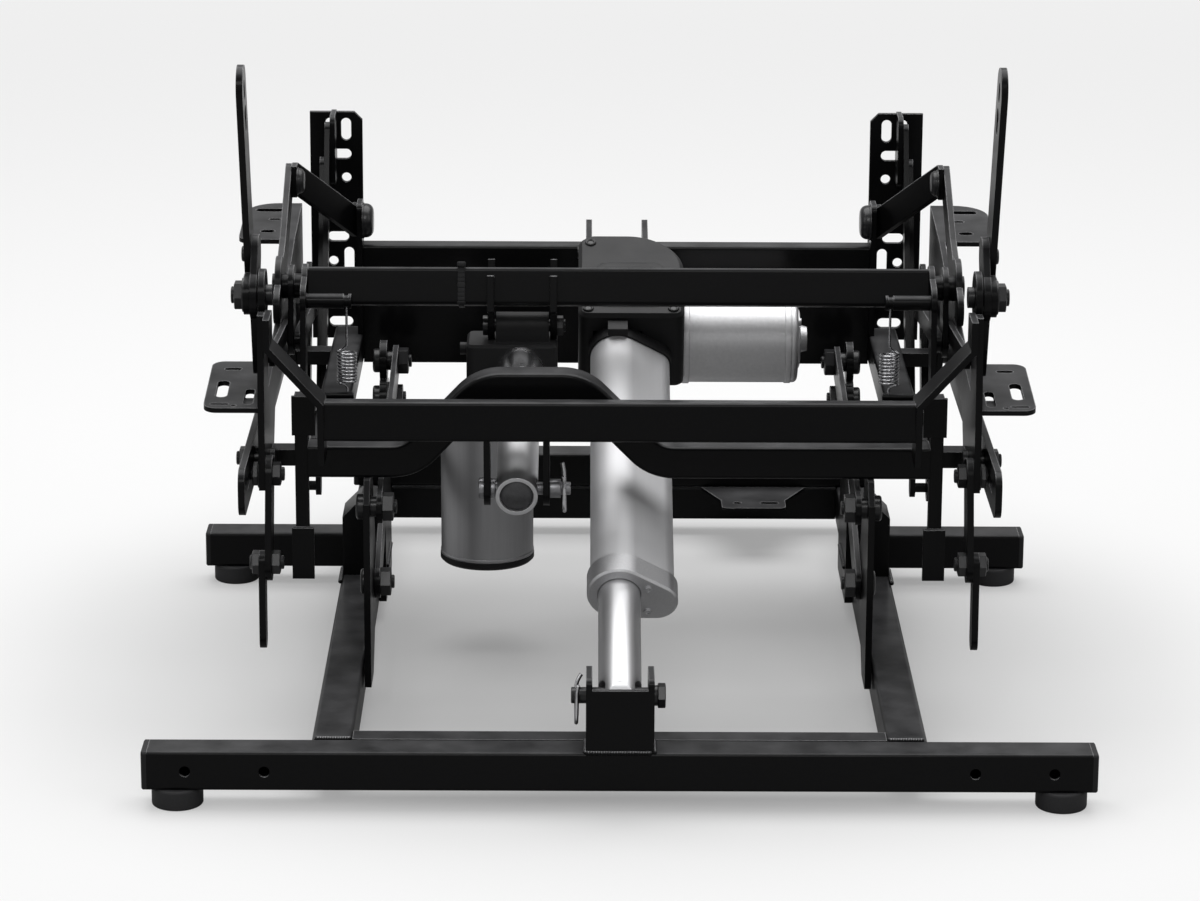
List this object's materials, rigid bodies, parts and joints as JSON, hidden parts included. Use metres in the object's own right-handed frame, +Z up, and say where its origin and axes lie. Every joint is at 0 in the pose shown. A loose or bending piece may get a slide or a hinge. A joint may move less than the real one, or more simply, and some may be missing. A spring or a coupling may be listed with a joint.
{
  "type": "recliner lift mechanism",
  "caption": "Powered recliner lift mechanism: tube base, tilting lift carriage, two linear actuators, seat side plates, back arms and folding footrest linkage.",
  "frame": {"origin": "on the floor under the middle of the whole's box, lift and recline at rest", "axes": "+Z up, +Y to the front where the footrest unfolds, +X to the right seen from behind"},
  "size_m": [0.7, 0.7249, 0.52],
  "materials": {
    "black_steel": "gloss",
    "black_fastener": "satin",
    "bright_zinc": "satin",
    "satin_aluminium": "satin",
    "motor_steel": "satin",
    "black_plastic": "matte",
    "black_rubber": "matte"
  },
  "bodies": {
    "base": {"rear_base_tube": "black_steel", "side_base_tubes": "black_steel", "front_base_tubes": "black_steel", "outrigger_tubes": "black_steel", "tube_end_caps": "black_plastic", "base_feet": "black_rubber", "riser_posts": "black_steel", "riser_plates": "black_steel", "base_pivot_bolts": "black_fastener", "actuator_clevis": "black_steel", "clevis_pin": "bright_zinc", "stiffener_bar": "black_steel", "control_box_bracket": "black_steel"},
    "upper_lift_links": {"upper_lift_links": "black_steel"},
    "lower_lift_links": {"lower_lift_links": "black_steel"},
    "carriage": {"arch_tube": "black_steel", "carriage_rails": "black_steel", "hanger_plates": "black_steel", "carriage_bolts": "black_fastener", "front_beam": "black_steel", "lift_top_pin": "black_fastener", "beam_end_plates": "black_steel", "brace_plates": "black_steel", "front_ties": "black_steel", "mechanism_rails": "black_steel", "side_brackets": "black_steel", "seat_plates": "black_steel", "seat_pivot_pins": "black_fastener", "rear_cross_tube": "black_steel", "rear_straps": "black_steel", "recline_rear_pin": "bright_zinc", "spring_posts": "black_steel", "return_springs": "bright_zinc"},
    "lift_actuator": {"lift_barrel": "satin_aluminium", "lift_end_flange": "satin_aluminium", "lift_clamp_band": "black_plastic", "lift_gearbox": "black_plastic", "lift_motor": "motor_steel", "lift_lead_screw": "bright_zinc"},
    "lift_rod": {"lift_rod": "satin_aluminium", "lift_drive_nut": "black_plastic"},
    "drive_tube": {"drive_tube": "black_steel", "drive_arms": "black_steel", "drive_ear_pin": "black_fastener"},
    "recline_actuator": {"recline_gearbox": "black_plastic", "recline_motor_can": "motor_steel", "recline_motor_cap": "black_plastic", "recline_collar": "bright_zinc", "recline_lead_screw": "bright_zinc"},
    "recline_rod": {"recline_rod": "satin_aluminium"},
    "back": {"back_arms": "black_steel", "back_pivot_plates": "black_steel", "back_bolts": "black_fastener"},
    "back_links": {"back_links": "black_steel"},
    "footrest_main_links": {"footrest_main_links": "black_steel"},
    "footrest_drive_links": {"footrest_drive_links": "black_steel"},
    "footrest_upper_links": {"footrest_upper_links": "black_steel"},
    "footrest_guide_links": {"footrest_guide_links": "black_steel"},
    "footrest_control_links": {"footrest_control_links": "black_steel"},
    "footrest_brackets": {"footrest_brackets": "black_steel"}
  },
  "joints": [
    {"name": "lift", "type": "hinge", "parent": "base", "child": "upper_lift_links", "pos_m": [0, 0.144, 0.2095], "axis": [-1, 0, 0], "range_deg": [0, 40]},
    {"name": "carriage_tilt", "type": "hinge", "parent": "upper_lift_links", "child": "carriage", "pos_m": [0, -0.1505, 0.1705], "axis": [-1, 0, 0], "range_deg": [-14.1, 0.1]},
    {"name": "lower_link_swing", "type": "hinge", "parent": "base", "child": "lower_lift_links", "pos_m": [0, 0.1355, 0.18], "axis": [-1, 0, 0], "range_deg": [-0.1, 43.3]},
    {"name": "lift_actuator_swing", "type": "hinge", "parent": "carriage", "child": "lift_actuator", "pos_m": [0, 0.1735, 0.2955], "axis": [-1, 0, 0], "range_deg": [-27.4, 0.1]},
    {"name": "lift_rod_extend", "type": "slide", "parent": "lift_actuator", "child": "lift_rod", "axis": [0, -0.9175, -0.3977], "range_m": [-0.0002, 0.0785]},
    {"name": "recline", "type": "hinge", "parent": "carriage", "child": "drive_tube", "pos_m": [0, 0.0165, 0.304], "axis": [1, 0, 0], "range_deg": [0, 50]},
    {"name": "recline_actuator_swing", "type": "hinge", "parent": "drive_tube", "child": "recline_actuator", "pos_m": [0, 0.0295, 0.269], "axis": [1, 0, 0], "range_deg": [-46.2, 0.1]},
    {"name": "recline_rod_extend", "type": "slide", "parent": "recline_actuator", "child": "recline_rod", "axis": [0, -0.9753, -0.2207], "range_m": [-0.0002, 0.0292]},
    {"name": "back_recline", "type": "hinge", "parent": "carriage", "child": "back", "pos_m": [0, -0.1565, 0.339], "axis": [1, 0, 0], "range_deg": [-0.1, 34.1]},
    {"name": "back_link_swing", "type": "hinge", "parent": "drive_tube", "child": "back_links", "pos_m": [0, 0.0155, 0.27], "axis": [1, 0, 0], "range_deg": [-53.1, 0.1]},
    {"name": "footrest_main_swing", "type": "hinge", "parent": "carriage", "child": "footrest_main_links", "pos_m": [0, 0.2315, 0.262], "axis": [1, 0, 0], "range_deg": [-0.1, 80.1]},
    {"name": "footrest_drive_swing", "type": "hinge", "parent": "drive_tube", "child": "footrest_drive_links", "pos_m": [0, 0.0075, 0.262], "axis": [1, 0, 0], "range_deg": [-51.4, 0.1]},
    {"name": "footrest_upper_swing", "type": "hinge", "parent": "footrest_main_links", "child": "footrest_upper_links", "pos_m": [0, 0.17156, 0.11365], "axis": [1, 0, 0], "range_deg": [-125.2, 0.1]},
    {"name": "footrest_guide_swing", "type": "hinge", "parent": "footrest_main_links", "child": "footrest_guide_links", "pos_m": [0, 0.16936, 0.14555], "axis": [1, 0, 0], "range_deg": [-125.2, 0.1]},
    {"name": "footrest_bracket_swing", "type": "hinge", "parent": "footrest_upper_links", "child": "footrest_brackets", "pos_m": [0, 0.2785, 0.345], "axis": [1, 0, 0], "range_deg": [-0.1, 125.2]},
    {"name": "footrest_control_swing", "type": "hinge", "parent": "carriage", "child": "footrest_control_links", "pos_m": [0, 0.2175, 0.232], "axis": [1, 0, 0], "range_deg": [-0.1, 82.6]}
  ],
  "couplings": [
    {"joint": "carriage_tilt", "follows": "lift", "ratio": -0.35},
    {"joint": "lower_link_swing", "follows": "lift", "ratio": 1.0797},
    {"joint": "lift_actuator_swing", "follows": "lift", "ratio": -0.6818},
    {"joint": "lift_rod_extend", "follows": "lift", "m_per_rad": 0.11213},
    {"joint": "recline_actuator_swing", "follows": "recline", "ratio": -0.9209},
    {"joint": "recline_rod_extend", "follows": "recline", "m_per_rad": 0.03328},
    {"joint": "back_recline", "follows": "recline", "ratio": 0.68},
    {"joint": "back_link_swing", "follows": "recline", "ratio": -1.0591},
    {"joint": "footrest_main_swing", "follows": "recline", "ratio": 1.6},
    {"joint": "footrest_drive_swing", "follows": "recline", "ratio": -1.0259},
    {"joint": "footrest_upper_swing", "follows": "recline", "ratio": -2.5},
    {"joint": "footrest_guide_swing", "follows": "recline", "ratio": -2.5},
    {"joint": "footrest_bracket_swing", "follows": "recline", "ratio": 2.5},
    {"joint": "footrest_control_swing", "follows": "recline", "ratio": 1.6498}
  ]
}
